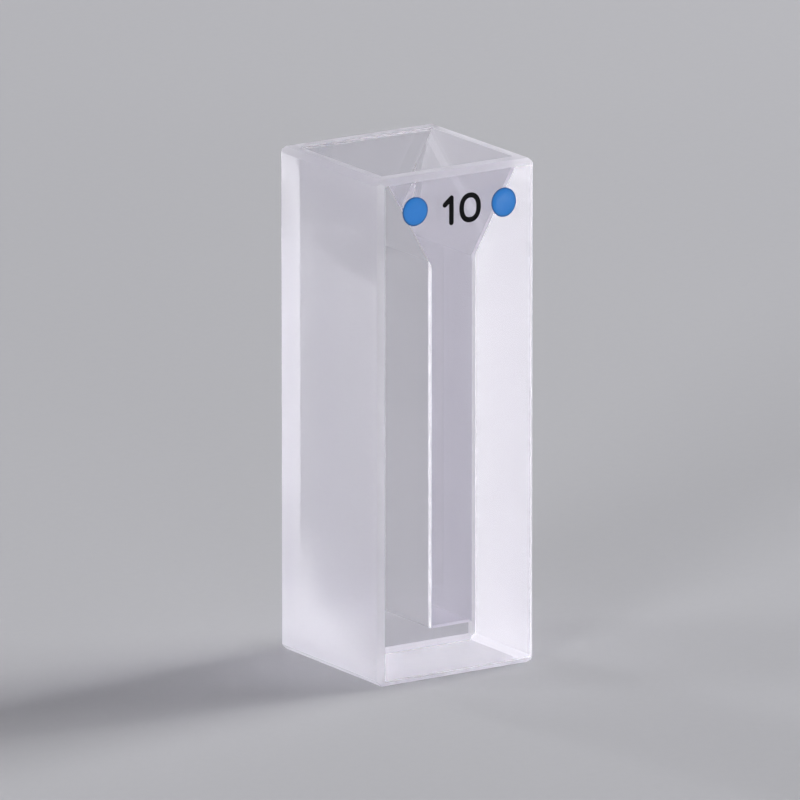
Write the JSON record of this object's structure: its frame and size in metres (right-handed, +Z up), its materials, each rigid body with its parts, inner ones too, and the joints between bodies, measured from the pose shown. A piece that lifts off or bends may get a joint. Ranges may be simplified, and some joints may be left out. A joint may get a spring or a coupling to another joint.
{
  "type": "semi-micro cuvette",
  "caption": "Square fused-quartz cuvette with polished windows, ground sides, a narrow sample channel and a funnel mouth; holds liquid in a cell holder while light passes through it.",
  "frame": {"origin": "centre of the foot, on the surface that the cuvette stands on", "axes": "+Z up along the height, -Y out of the marked front window, +X to the right as the front window is looked at; light passes along Y"},
  "size_m": [0.0126, 0.0126, 0.035],
  "materials": {
    "polished_quartz": "polished",
    "ground_quartz": "polished inside, ground outside",
    "blue_mark": "fired enamel dot",
    "black_mark": "fired enamel figure"
  },
  "bodies": {
    "root": {"front_window": "polished_quartz", "rear_window": "polished_quartz", "left_side_block": "ground_quartz", "right_side_block": "ground_quartz", "base_block": "ground_quartz"}
  },
  "joints": []
}
